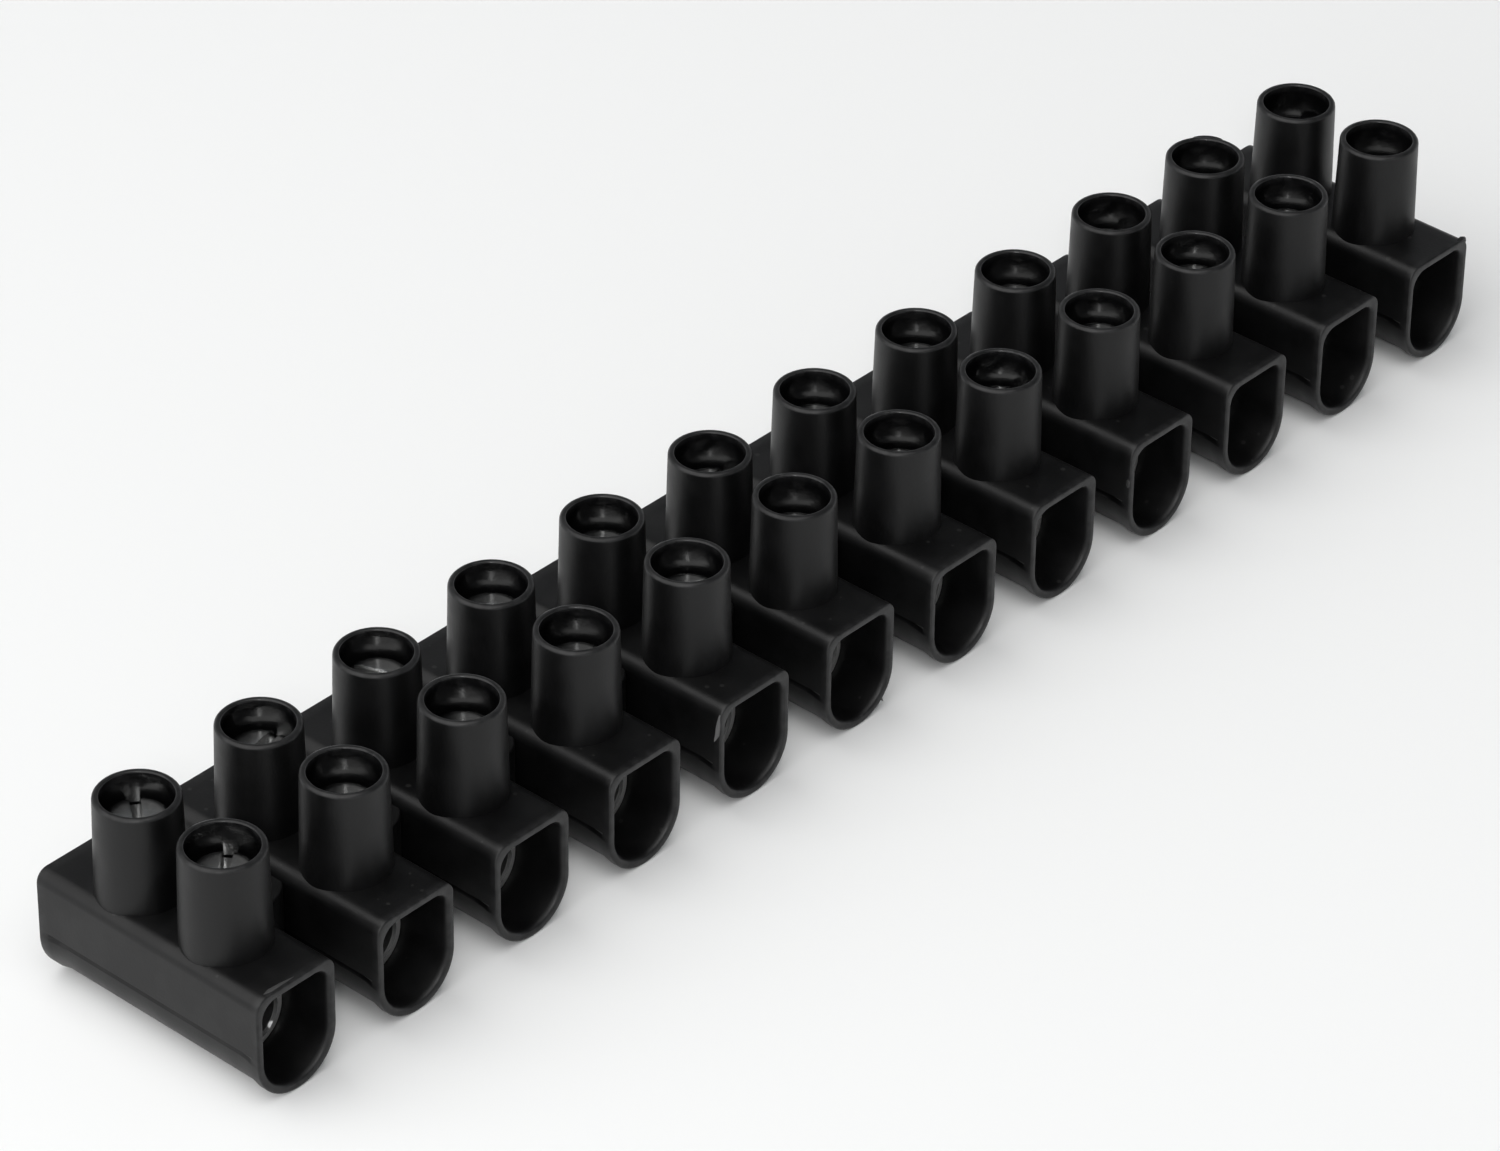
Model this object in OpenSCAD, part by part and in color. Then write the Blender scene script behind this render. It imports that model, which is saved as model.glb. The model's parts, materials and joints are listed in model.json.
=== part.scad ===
// Twelve-pole screw terminal strip: one moulded housing, plated clamp inserts and slotted clamp screws.
// Millimetres. X runs along the strip, the wires enter along Y, the turrets stand up along Z.
// The origin is under the middle of the strip, on the surface that it rests on.

/* [Strip] */
// Number of poles
poles = 12; // [2:1:12]
// Distance from pole to pole
pitch = 10; // [9:0.25:14]

/* [Clamp insert] */
// Width of the insert
insert_w = 4.8; // [4.4:0.1:5.4]
// Height of the insert's flat top over the wire's axis
insert_rise = 3.8; // [3:0.1:5]
// Metal left beyond each tapped hole, at the insert's ends
insert_end = 0.5; // [0.3:0.1:1.5]
// Diameter of the wire bore
wire_d = 3.8; // [2.4:0.1:4.2]
// Depth of the lead-in cone at each end of the wire bore
wire_lead = 0.15; // [0.05:0.05:0.3]
// Distance between the two screws of a pole
screw_spacing = 7.2; // [6.4:0.1:9]

/* [Clamp screw] */
// Diameter of the tapped hole, at the thread's crests
thread_d = 3.0; // [2.5:0.1:3.2]
// Running room round the thread
thread_gap = 0.08; // [0.05:0.01:0.1]
// Travel for one turn of a screw
thread_pitch = 0.5; // [0.4:0.05:0.5]
// Diameter of the screw's head
head_d = 4.2; // [3.6:0.1:4.6]
// Height of the screw's head
head_h = 1.5; // [1.2:0.1:2]
// Radius of the head's rounded top edge
head_edge = 0.65; // [0.1:0.05:0.9]
// Room under the head of a screw that just clears the wire bore
head_rise = 3.9; // [3.6:0.1:4.5]
// Width of the driver slot
slot_w = 0.7; // [0.5:0.05:1]
// Depth of the driver slot
slot_depth = 0.8; // [0.5:0.05:1]
// Length of the cone at the screw's point
point_h = 0.4; // [0.2:0.05:0.6]

/* [Pole tube] */
// Plastic beside the insert
side_wall = 0.75; // [0.5:0.05:1]
// Plastic over the insert
top_wall = 0.82; // [0.6:0.02:1.6]
// Radius of the long top edges
top_edge = 0.8; // [0.4:0.05:1.2]
// Length of tube in front of the insert, at each end
mouth_reach = 3.8; // [2.5:0.1:6]
// Depth of the widened mouth
mouth_depth = 1.2; // [0.6:0.1:2.2]
// How much the mouth is wider than the channel, on each side
mouth_relief = 0.25; // [0.1:0.05:0.35]
// Radius of the top corners of the channel and of the insert in it
inner_edge = 0.4; // [0.2:0.05:0.8]
// How far the lower half of a tube is set back, between its collars
parting_step = 0.15; // [0.05:0.01:0.2]
// Height of that step over the wire's axis
parting_rise = 0.2; // [0.1:0.05:0.8]
// Length of the full collar at the front end
front_collar = 0.6; // [0.4:0.1:2]
// Length of the full collar at the back end
back_collar = 1.5; // [0.4:0.1:2]

/* [Turret] */
// Height of a turret over the tube
turret_h = 7.1; // [6.6:0.1:9]
// Plastic round the turret's bore, at the rim
turret_wall = 0.45; // [0.3:0.05:0.8]
// How much the turret's radius grows from the rim to the tube
turret_draft = 0.15; // [0.05:0.05:0.2]
// Radius of the rim's outer edge
rim_edge = 0.25; // [0.1:0.05:0.25]
// Depth of the bevel inside the rim
rim_bevel = 0.15; // [0.05:0.05:0.25]

/* [Fixing boss] */
// Diameter of the hole for a fixing screw, between two poles
fix_hole_d = 3.0; // [2.5:0.1:3.4]
// Plastic round a fixing hole
fix_wall = 0.75; // [0.5:0.05:1]
// How far a boss stays below the top of the tubes
fix_drop = 0.6; // [0.3:0.1:3]
// Thickness of the rib that carries a boss
rib_t = 1.6; // [1:0.1:3]
// Height of the rib
rib_h = 4.2; // [2:0.1:5]
// Height of the rib's underside
rib_z = 1.6; // [1:0.1:3]

/* [Fits] */
// Room round an insert in its channel
insert_gap = 0.06; // [0.03:0.01:0.12]
// Room round a screw's head in its turret
head_gap = 0.15; // [0.1:0.05:0.4]
// Room between the wire bore and the point of a screw at no turns out
point_gap = 0.1; // [0.05:0.05:0.4]

/* [Hidden] */
$fn = 48;
cut = 1;                              // how far a cutting shape runs past what it cuts
plastic_black = [0.06, 0.06, 0.065];
plated_steel = [0.74, 0.75, 0.76];

// how many turns each screw stands out, counted from the one whose point just clears the wire bore
turns_front = [1.6, 0.86, 0.87, 0.8, 0.96, 0.33, 0.37, 0.53, 0.95, 1, 0.8, 0.2];
turns_back = [2.15, 1.53, 1.8, 1.35, 0.87, 0.53, 0.8, 0.9, 0.84, 0.55, 0.45, 0.05];

channel_w = insert_w + 2 * insert_gap;
channel_rise = insert_rise + insert_gap;
tube_w = channel_w + 2 * side_wall;   // above the step, and at the collars
keel_w = tube_w - 2 * parting_step;   // below it
mouth_w = channel_w + 2 * mouth_relief;
tube_rise = channel_rise + top_wall;  // the tube's flat top over the wire's axis
insert_len = screw_spacing + thread_d + 2 * insert_end;
tube_len = insert_len + 2 * mouth_reach;

wire_z = tube_w / 2;
insert_top = wire_z + insert_rise;
tube_top = wire_z + tube_rise;
rim_z = tube_top + turret_h;

turret_bore_d = head_d + 2 * head_gap;
turret_rim_d = turret_bore_d + 2 * turret_wall;
turret_base_d = turret_rim_d + 2 * turret_draft;
turret_root = top_edge;               // a turret starts below the rounded edge that it stands on

shank_d = thread_d - 2 * thread_gap;
point_d = shank_d - 2 * point_h;
point_z = wire_z + wire_d / 2 + point_gap;  // height of the point at no turns out
head_z = insert_top + head_rise;            // height of the head's seat at no turns out

boss_d = fix_hole_d + 2 * fix_wall;
boss_h = tube_top - fix_drop;

function pole_x(i) = (i - (poles + 1) / 2) * pitch;
function two_digits(i) = str(i < 10 ? "0" : "", i);

// Outline of a tube's section about the wire's axis: round below, flat on top
module u_outline(w, rise, edge) {
    circle(d = w);
    translate([-w / 2, 0]) square([w, rise - edge]);
    translate([-w / 2 + edge, 0]) square([w - 2 * edge, rise]);
    for (side = [-1, 1]) {
        translate([side * (w / 2 - edge), rise - edge]) circle(edge);
    }
}

// Stands an outline up and runs it along the pole, centred on the wire's axis
module along_wire(len) {
    translate([0, len / 2, wire_z]) rotate([90, 0, 0]) linear_extrude(len) children();
}

// What the lower half of a tube is set back by, in section
module keel_recess() {
    difference() {
        translate([-tube_w, -tube_w]) square([2 * tube_w, tube_w + parting_rise]);
        circle(d = keel_w);
        translate([-keel_w / 2, 0]) square([keel_w, parting_rise + cut]);
    }
}

// Outside of one tube: the full section, and its lower half set back between the collars
module tube_outside() {
    difference() {
        along_wire(tube_len) u_outline(tube_w, tube_rise, top_edge);
        translate([0, (front_collar - back_collar) / 2, 0])
            along_wire(tube_len - front_collar - back_collar) keel_recess();
    }
}

// Inside of one tube: the insert's channel right through, and the two widened mouths
module tube_inside() {
    along_wire(tube_len + 2 * cut) u_outline(channel_w, channel_rise, inner_edge);
    for (end = [-1, 1]) {
        translate([0, end * (tube_len - mouth_depth + cut) / 2, 0])
            along_wire(mouth_depth + cut)
            u_outline(mouth_w, channel_rise + mouth_relief, inner_edge + mouth_relief);
    }
}

// Half-section of a turret, from its root in the tube to its rounded rim
module turret_outline() {
    rim_r = turret_rim_d / 2;
    polygon([
        [0, -turret_root],
        [turret_base_d / 2, -turret_root],
        [turret_base_d / 2, 0],
        [rim_r, turret_h - rim_edge],
        [0, turret_h - rim_edge]
    ]);
    translate([0, turret_h - 2 * rim_edge]) square([rim_r - rim_edge, 2 * rim_edge]);
    translate([rim_r - rim_edge, turret_h - rim_edge]) circle(rim_edge);
}

// Bore of a turret, down to the insert, with the bevel inside its rim
module turret_bore() {
    translate([0, 0, insert_top - insert_gap]) cylinder(d = turret_bore_d, h = rim_z - insert_top + cut);
    translate([0, 0, rim_z - rim_bevel])
        cylinder(d1 = turret_bore_d, d2 = turret_bore_d + 2 * rim_bevel, h = rim_bevel);
}

// Boss for a fixing screw, and the rib that runs from pole to pole and carries it
module fixing_boss() {
    cylinder(d = boss_d, h = boss_h);
    translate([-pitch / 2, -rib_t / 2, rib_z]) cube([pitch, rib_t, rib_h]);
}

module at_screws() {
    for (row = [-1, 1]) {
        translate([0, row * screw_spacing / 2, 0]) children();
    }
}

module at_fixings() {
    for (i = [1:poles - 1]) {
        translate([pole_x(i) + pitch / 2, 0, 0]) children();
    }
}

module housing() {
    color(plastic_black) difference() {
        union() {
            for (i = [1:poles]) {
                translate([pole_x(i), 0, 0]) {
                    tube_outside();
                    at_screws() translate([0, 0, tube_top]) rotate_extrude() turret_outline();
                }
            }
            at_fixings() fixing_boss();
        }
        for (i = [1:poles]) {
            translate([pole_x(i), 0, 0]) {
                tube_inside();
                at_screws() turret_bore();
            }
        }
        at_fixings() translate([0, 0, -cut]) cylinder(d = fix_hole_d, h = boss_h + 2 * cut);
    }
}

// Plated block with the channel's section: the wire goes along it, the screws come down through its top
module clamp_insert() {
    color(plated_steel) difference() {
        along_wire(insert_len) u_outline(insert_w, insert_rise, inner_edge);
        translate([0, 0, wire_z]) rotate([90, 0, 0]) {
            cylinder(d = wire_d, h = insert_len + 2 * cut, center = true);
            for (end = [0, 1]) {
                mirror([0, 0, end]) translate([0, 0, insert_len / 2 - wire_lead])
                    cylinder(d1 = wire_d, d2 = wire_d + 2 * wire_lead, h = wire_lead);
            }
        }
        at_screws() translate([0, 0, wire_z]) cylinder(d = thread_d, h = insert_rise + cut);
    }
}

// Half-section of a screw, its point at the bottom and its head's top edge rounded
module screw_outline(shank_len) {
    head_r = head_d / 2;
    edge_z = shank_len + head_h - head_edge;
    polygon([
        [0, 0],
        [point_d / 2, 0],
        [shank_d / 2, point_h],
        [shank_d / 2, shank_len],
        [head_r, shank_len],
        [head_r, edge_z],
        [0, edge_z]
    ]);
    translate([0, shank_len]) square([head_r - head_edge, head_h]);
    translate([head_r - head_edge, edge_z]) circle(head_edge);
}

// Slotted screw with a rounded head, turned out by a number of turns
module clamp_screw(turns) {
    shank_len = head_z - point_z;
    color(plated_steel) translate([0, 0, point_z + turns * thread_pitch]) rotate(turns * 360) difference() {
        rotate_extrude() screw_outline(shank_len);
        translate([-head_d / 2 - cut, -slot_w / 2, shank_len + head_h - slot_depth])
            cube([head_d + 2 * cut, slot_w, slot_depth + cut]);
    }
}

housing();
for (i = [1:poles]) {
    translate([pole_x(i), 0, 0]) clamp_insert();
    translate([pole_x(i), -screw_spacing / 2, 0]) clamp_screw(turns_front[i - 1]);
    translate([pole_x(i), screw_spacing / 2, 0]) clamp_screw(turns_back[i - 1]);
}
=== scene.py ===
"""Finishes a twelve-pole terminal strip: one black moulding, plated inserts and screws, and a pale stage."""

import json
import math

import bmesh
import bpy
import numpy as np
from mathutils import Matrix, Vector


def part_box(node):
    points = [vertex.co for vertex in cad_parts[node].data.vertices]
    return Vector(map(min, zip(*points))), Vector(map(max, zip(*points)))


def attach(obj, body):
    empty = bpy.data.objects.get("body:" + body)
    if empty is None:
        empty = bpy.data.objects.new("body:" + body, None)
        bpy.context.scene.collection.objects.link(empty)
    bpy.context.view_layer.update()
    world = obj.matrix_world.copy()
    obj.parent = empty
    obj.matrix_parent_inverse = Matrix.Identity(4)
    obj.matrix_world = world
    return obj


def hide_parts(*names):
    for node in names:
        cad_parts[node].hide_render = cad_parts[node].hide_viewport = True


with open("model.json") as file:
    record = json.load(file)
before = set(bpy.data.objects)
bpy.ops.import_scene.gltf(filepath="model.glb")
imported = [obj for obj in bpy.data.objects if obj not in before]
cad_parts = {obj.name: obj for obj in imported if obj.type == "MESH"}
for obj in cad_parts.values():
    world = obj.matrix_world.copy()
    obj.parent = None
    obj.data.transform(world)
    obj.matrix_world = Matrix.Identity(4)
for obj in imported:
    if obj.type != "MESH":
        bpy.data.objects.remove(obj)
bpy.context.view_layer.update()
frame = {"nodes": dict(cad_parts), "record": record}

bl_info = {
    "name": "Terminal strip finish",
    "version": (1, 0, 0),
    "blender": (4, 5, 0),
    "location": "3D View > Sidebar > Terminal strip",
    "description": "Moulded housing, clamp screws, inserts and studio stage of a terminal strip",
    "category": "Object",
}


def mm(value):
    """Millimetres as metres."""
    return value / 1000


def middle(node):
    """The middle of a node's box."""
    low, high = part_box(node)
    return (low + high) / 2


# Sizes and places that the frame gives
STRIP_BODY = "strip"
INSERTS = sorted(name for name in frame["nodes"] if name.startswith("clamp_insert_"))
SCREWS = sorted(name for name in frame["nodes"] if "_screw_" in name)
POLE_X = [middle(name).x for name in INSERTS]
PITCH = POLE_X[1] - POLE_X[0]
HOUSING_LOW, HOUSING_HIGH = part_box("housing")
TUBE_LEN = HOUSING_HIGH.y - HOUSING_LOW.y
RIM_Z = HOUSING_HIGH.z
SCREW_Y = middle("back_screw_01").y
MOUNTS = {mount["name"]: mount for mount in frame["record"]["mounts"]}
WIRE_Z = MOUNTS["wire_bore_01"]["pos_m"][2]
WIRE_R = mm(MOUNTS["wire_bore_01"]["dims"]["r_mm"])
FIX_R = mm(MOUNTS["fixing_hole_middle"]["dims"]["r_mm"])

# A polished nick at the edge of the first insert's wire bore, made glossy and also given a painted glint in
# its colour
NICK_GLINT_SPOT = (POLE_X[0] + mm(1.5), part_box(INSERTS[0])[0].y, WIRE_Z - mm(1.4))

# How finely a tube is drawn: round its section, round its mouth and along it
BOTTOM_STEPS = 14
SIDE_STEPS = 3
CORNER_STEPS = 6
TOP_STEPS = 4
MOUTH_STEPS = 5
TUBE_STEP = mm(0.8)
CHANNEL_STEPS = 6
# How finely turned shapes, their rounded edges and the rolled thread are drawn
LATHE_STEPS = 48
EDGE_STEPS = 4
SOFT_STEPS = 3
THREAD_STEPS = 20
RIDGE_SIDES = 7

# How far a cutting tool stands out of what it cuts
TOOL_PAST = mm(1)

# Width of the photograph in pixels, and the camera that was fitted to it
FRAME_W = 1500
SENSOR_W = 36
CAMERA_FOCAL_PX = 6652
CAMERA_TURN = math.radians(-48.361)
CAMERA_RISE = math.radians(34.484)
CAMERA_ROLL = math.radians(0.795)
CAMERA_AWAY = mm(431.8)
CAMERA_RIGHT = mm(-2.509)
CAMERA_UP = mm(3.133)
CAMERA_AIM = Vector((0, mm(1.096), mm(0.317)))


def length(name, description, default_mm):
    """A size that a user would change, given in millimetres."""
    return bpy.props.FloatProperty(
        name=name, description=description, default=mm(default_mm), min=0, precision=5, unit="LENGTH"
    )


def colour(name, description, default):
    """A colour that a user would change."""
    return bpy.props.FloatVectorProperty(
        name=name, description=description, default=default, size=3, min=0, max=1, subtype="COLOR"
    )


def share(name, description, default):
    """A number from nought to one that a user would change."""
    return bpy.props.FloatProperty(
        name=name, description=description, default=default, min=0, max=1, subtype="FACTOR"
    )


class MouldingSettings(bpy.types.PropertyGroup):
    """Sizes and finish of the moulded housing."""

    tube_width: length("Tube width", "Width of a pole's tube above the parting line", 6.42)
    tube_top: length("Tube top", "Height of the flat top of the tubes", 8.1)
    top_edge: length("Top edge", "Radius of the long top edges", 0.9)
    channel_width: length("Channel width", "Width of the channel that holds an insert", 4.92)
    channel_top: length("Channel top", "Height of the channel's ceiling", 7.3)
    channel_edge: length("Channel edge", "Radius of the channel's top corners", 0.85)
    mouth_relief: length("Mouth relief", "How much a mouth is wider than the channel, on each side", 0.12)
    mouth_depth: length("Mouth depth", "Depth over which a mouth narrows to the channel", 1.2)
    mouth_outer: length("Mouth outer edge", "Radius of the outer edge round a mouth", 0.14)
    mouth_inner: length("Mouth inner edge", "Width of the rounded inner edge round a mouth", 0.29)
    mouth_round: length("Mouth round depth", "Depth of the rounded inner edge round a mouth", 0.6)
    parting_step: length("Parting step", "How far the lower half of a tube is set back", 0.15)
    parting_rise: length("Parting rise", "Height of the parting line over the wire's axis", 0.6)
    parting_groove: length("Parting groove", "Depth of the crease under the parting line", 0.29)
    front_collar: length("Front collar", "Length of the full collar at a tube's front end", 0.6)
    back_collar: length("Back collar", "Length of the full collar at a tube's back end", 0.9)
    collar_blend: length("Collar blend", "Length over which a collar runs out", 0.7)
    turret_bore: length("Turret bore", "Diameter of the bore down a turret", 4.5)
    turret_rim: length("Turret rim", "Outer diameter of a turret at its rim", 5.4)
    turret_base: length("Turret base", "Outer diameter of a turret at the tube", 5.7)
    turret_sink: length("Turret sink", "How far a turret's foot reaches into its tube", 0.6)
    rim_edge: length("Rim edge", "Radius of a rim's outer edge", 0.25)
    rim_bevel: length("Rim bevel", "Depth of the bevel inside a rim", 0.15)
    boss_width: length("Boss width", "Diameter of a fixing boss", 4.5)
    boss_height: length("Boss height", "Height of a fixing boss", 7.29)
    boss_soft: length("Boss softness", "Radius of a boss's edges", 0.12)
    black: colour("Plastic colour", "Colour of the moulded plastic", (0.0022, 0.0022, 0.0024))
    dust: share("Dust", "How much pale dust lies on the plastic", 0.12)


class BurrSettings(bpy.types.PropertyGroup):
    """Finish of the burrs that the mould left."""

    worn: share("Worn", "How much the burrs are rubbed pale", 0.6)
    torn: colour("Torn colour", "Colour of plastic that is whitened where it tore", (0.14, 0.14, 0.14))


class ScrewSettings(bpy.types.PropertyGroup):
    """Sizes and finish of the clamp screws."""

    head_height: length("Head height", "Height of the screw's head", 1.5)
    head_edge: length("Head edge", "Radius of the head's top edge", 0.65)
    slot_width: length("Slot width", "Width of the driver slot", 0.7)
    slot_depth: length("Slot depth", "Depth of the driver slot", 0.8)
    slot_soft: length("Slot softness", "Width of the bevel along the slot's edges", 0.05)
    shank_width: length("Shank width", "Diameter over the thread's crests", 2.84)
    point_height: length("Point height", "Length of the cone at the point", 0.4)
    thread_pitch: length("Thread pitch", "Travel for one turn", 0.5)
    ridge: length("Thread ridge", "Radius of the rolled ridge of the thread", 0.19)
    point_gap: length("Point gap", "Room between the wire bore and a screw's point at no turns out", 0.1)
    plate: colour("Plate colour", "Colour of the zinc plate", (0.82, 0.825, 0.82))


class InsertSettings(bpy.types.PropertyGroup):
    """Finish of the plated inserts."""

    plate: colour("Plate colour", "Colour of the plate on the inserts", (0.6, 0.6, 0.59))


class StageSettings(bpy.types.PropertyGroup):
    """Floor, lamps and camera."""

    paper: colour("Floor colour", "Colour of the floor", (0.88, 0.885, 0.885))
    floor_size: length("Floor size", "Length of the floor's side", 3000)
    key_power: bpy.props.FloatProperty(
        name="Key power", description="Power of the broad lamp overhead", default=11.8, min=0, unit="POWER"
    )
    key_size: length("Key size", "Length of the overhead lamp's side", 1400)
    front_power: bpy.props.FloatProperty(
        name="Front power", description="Power of the small lamp on the camera's side", default=0.66, min=0,
        unit="POWER"
    )
    front_size: length("Front size", "Length of the small lamp's side", 76)
    horizon: colour("Horizon colour", "Light from the pale walls low down", (0.8, 0.81, 0.83))
    ceiling: colour("Ceiling colour", "Light from the dim room above", (0.11, 0.115, 0.12))


class TerminalStripSettings(bpy.types.PropertyGroup):
    """All that a user would change."""

    moulding: bpy.props.PointerProperty(type=MouldingSettings)
    burr: bpy.props.PointerProperty(type=BurrSettings)
    screw: bpy.props.PointerProperty(type=ScrewSettings)
    insert: bpy.props.PointerProperty(type=InsertSettings)
    stage: bpy.props.PointerProperty(type=StageSettings)


# Node trees

def put(tree, kind, inputs=None, **settings):
    """Adds a node, sets its own settings, and gives each named or numbered input a value or a link."""
    node = tree.nodes.new(kind)
    for key, value in settings.items():
        setattr(node, key, value)
    for key, value in (inputs or {}).items():
        if isinstance(value, bpy.types.NodeSocket):
            tree.links.new(value, node.inputs[key])
        else:
            node.inputs[key].default_value = value
    return node


def new_tree(name, kind, inputs, outputs):
    """A node group with named sockets, and its input and output nodes."""
    tree = bpy.data.node_groups.new(name, kind)
    for label, socket in inputs:
        tree.interface.new_socket(name=label, in_out="INPUT", socket_type=socket)
    for label, socket in outputs:
        tree.interface.new_socket(name=label, in_out="OUTPUT", socket_type=socket)
    return tree, put(tree, "NodeGroupInput").outputs, put(tree, "NodeGroupOutput").inputs


def math_node(tree, operation, *values, clamp=False):
    """The result of one sum on values or links."""
    node = put(tree, "ShaderNodeMath", dict(enumerate(values)), operation=operation, use_clamp=clamp)
    return node.outputs[0]


def ramp(tree, value, low, high, to_low=0.0, to_high=1.0):
    """A value carried smoothly from one range to another."""
    node = put(
        tree, "ShaderNodeMapRange",
        {"Value": value, "From Min": low, "From Max": high, "To Min": to_low, "To Max": to_high},
        interpolation_type="SMOOTHSTEP",
    )
    return node.outputs["Result"]


def noise(tree, vector, scale, detail=2.0, roughness=0.5):
    """A cloudy pattern from nought to one."""
    node = put(
        tree, "ShaderNodeTexNoise",
        {"Vector": vector, "Scale": scale, "Detail": detail, "Roughness": roughness},
    )
    return node.outputs["Fac"]


def blend_colours(tree, factor, first, second):
    """Two colours mixed by a mask."""
    node = put(tree, "ShaderNodeMix", {"Factor": factor}, data_type="RGBA")
    colours = [socket for socket in node.inputs if socket.type == "RGBA"]
    for socket, value in zip(colours, (first, second)):
        if isinstance(value, bpy.types.NodeSocket):
            tree.links.new(value, socket)
        else:
            socket.default_value = (*value, 1)
    return next(socket for socket in node.outputs if socket.type == "RGBA")


def tones(tree, mask, whole, first, second):
    """A colour that a mask carries from one share of itself to another."""
    whole = Vector(whole)
    return blend_colours(tree, mask, tuple(whole * first), tuple(whole * second))


def within(tree, distance, full, gone):
    """A mask of what is nearer than one distance, fading out up to another."""
    return ramp(tree, distance, full, gone, to_low=1.0, to_high=0.0)


def dust_group():
    """Shared effect: pale specks that settle mostly on what faces up."""
    tree, given, made = new_tree(
        "settled_dust", "ShaderNodeTree",
        [("Vector", "NodeSocketVector"), ("Speck scale", "NodeSocketFloat"), ("Amount", "NodeSocketFloat")],
        [("Mask", "NodeSocketFloat")],
    )
    specks = put(
        tree, "ShaderNodeTexVoronoi",
        {"Vector": given["Vector"], "Scale": given["Speck scale"], "Randomness": 1.0},
    )
    chance = put(tree, "ShaderNodeSeparateColor", {"Color": specks.outputs["Color"]}).outputs[0]
    size = ramp(tree, chance, low=0.72, high=1.0, to_high=0.22)
    dot = math_node(tree, "LESS_THAN", specks.outputs["Distance"], size)
    clouds = noise(tree, given["Vector"], scale=260.0, detail=3.0)
    film = ramp(tree, clouds, low=0.45, high=0.8, to_high=0.25)
    facing = put(
        tree, "ShaderNodeSeparateXYZ", {"Vector": put(tree, "ShaderNodeNewGeometry").outputs["Normal"]}
    ).outputs["Z"]
    upward = ramp(tree, facing, low=0.1, high=0.95, to_low=0.12)
    total = math_node(tree, "ADD", dot, film, clamp=True)
    settled = math_node(tree, "MULTIPLY", total, upward)
    tree.links.new(math_node(tree, "MULTIPLY", settled, given["Amount"]), made["Mask"])
    return tree


def grain_group():
    """Shared effect: the fine uneven skin that tools, moulds and plating leave."""
    tree, given, made = new_tree(
        "uneven_skin", "ShaderNodeTree",
        [("Vector", "NodeSocketVector"), ("Fine scale", "NodeSocketFloat"),
         ("Broad scale", "NodeSocketFloat"), ("Broad share", "NodeSocketFloat")],
        [("Height", "NodeSocketFloat"), ("Tone", "NodeSocketFloat")],
    )
    fine = noise(tree, given["Vector"], given["Fine scale"], detail=4.0, roughness=0.6)
    broad = noise(tree, given["Vector"], given["Broad scale"])
    height = math_node(tree, "ADD", fine, math_node(tree, "MULTIPLY", broad, given["Broad share"]))
    tree.links.new(height, made["Height"])
    tree.links.new(ramp(tree, broad, low=0.3, high=0.7), made["Tone"])
    return tree


def shared(name, build):
    """A node group that is built once."""
    return bpy.data.node_groups.get(name) or build()


def new_material(name, constants):
    """A material with a Principled shader whose constant values are on its own sockets."""
    material = bpy.data.materials.new(name)
    material.use_nodes = True
    tree = material.node_tree
    shader = next(node for node in tree.nodes if node.type == "BSDF_PRINCIPLED")
    for key, value in constants.items():
        shader.inputs[key].default_value = value
    place = put(tree, "ShaderNodeTexCoord").outputs["Object"]
    return material, tree, shader, place


# Greys of rubbed plastic and of dust, and how far rubbing, dust and polish change the plastic
RUBBED_GREY = (0.02, 0.02, 0.0205)
DUST_GREY = (0.3, 0.3, 0.29)
RUB_TINT = 0.6
RUB_GLOSS = 0.06
DUST_TINT = 0.35
BORE_GLOSS = 0.31
# Distance between the rings that turning left on a screw, and their height beside the skin's
TURNING_STEP = mm(0.11)
TURNING_HEIGHT = 0.35
# Shares of the plate's colour: darker in an insert's bore and round its edge, as painted shade, and brighter
# on the nick, as a painted highlight; and the nick's gloss
BORE_PAINTED_SHADE = 0.3
LEAD_PAINTED_SHADE = 0.2
NICK_PAINTED_GLINT = 1.5
NICK_GLOSS = 0.3


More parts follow.
